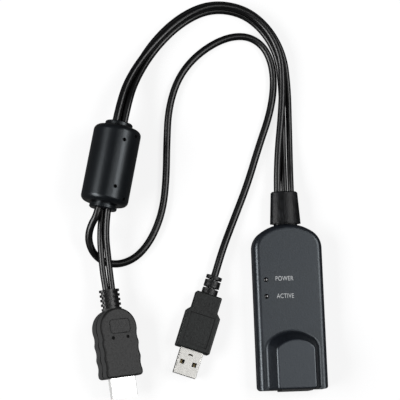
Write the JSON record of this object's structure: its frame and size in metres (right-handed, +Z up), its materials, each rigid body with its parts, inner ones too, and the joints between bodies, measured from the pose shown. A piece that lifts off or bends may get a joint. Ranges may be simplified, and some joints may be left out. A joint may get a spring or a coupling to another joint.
{
  "type": "kvm dongle",
  "caption": "Flat dark module with a hooded network socket at one end; captive cords leave a boot at the other and run through a ferrite to a video plug and a USB plug.",
  "frame": {"origin": "under the middle of the module with its jack and cord boot, on the surface that the module rests on", "axes": "+Y from the network jack to the cord boot, +Z up through the lid, +X to the right when the jack is nearest"},
  "size_m": [0.1242, 0.2079, 0.0245],
  "materials": {
    "case_plastic": "fine satin moulded plastic, dark blue-grey",
    "boot_rubber": "smooth matte rubber, dark grey",
    "cord_jacket": "glossy black flexible sheath",
    "ferrite_plastic": "satin black moulding",
    "ferrite_ceramic": "sintered dark grey ceramic",
    "plug_plastic": "fine matte moulded plastic, near black",
    "plug_steel": "bright plated steel sheet",
    "insert_plastic": "black insulator",
    "contact_metal": "gold-flashed spring metal",
    "jack_plastic": "black moulded plastic",
    "board_laminate": "green lacquered laminate",
    "chip_plastic": "black moulded package",
    "crystal_can": "plain metal can",
    "clear_plastic": "milky clear light pipe",
    "lamp_package": "white lamp package",
    "screw_steel": "black screw"
  },
  "bodies": {
    "root": {"lower_shell": "case_plastic", "upper_shell": "case_plastic", "circuit_board": "board_laminate", "cord_header": "insert_plastic", "case_screws": "screw_steel", "network_jack": "jack_plastic", "jack_contacts": "contact_metal", "jack_shield": "plug_steel", "cord_boot": "boot_rubber", "ferrite_core": "ferrite_ceramic", "ferrite_jacket": "ferrite_plastic", "video_plug_grip": "plug_plastic", "video_plug_shell": "plug_steel", "video_plug_insert": "insert_plastic", "video_plug_contacts": "contact_metal", "usb_plug_grip": "plug_plastic", "usb_plug_shell": "plug_steel", "usb_plug_insert": "insert_plastic", "usb_plug_contacts": "contact_metal", "main_chip": "chip_plastic", "memory_chip": "chip_plastic", "usb_chip": "chip_plastic", "line_transformer": "chip_plastic", "crystal": "crystal_can", "regulator": "chip_plastic", "board_filter": "chip_plastic", "power_lamp": "lamp_package", "power_light_pipe": "clear_plastic", "active_lamp": "lamp_package", "active_light_pipe": "clear_plastic", "usb_cord": "cord_jacket", "video_cord_inner": "cord_jacket", "video_cord_outer": "cord_jacket"}
  },
  "joints": []
}
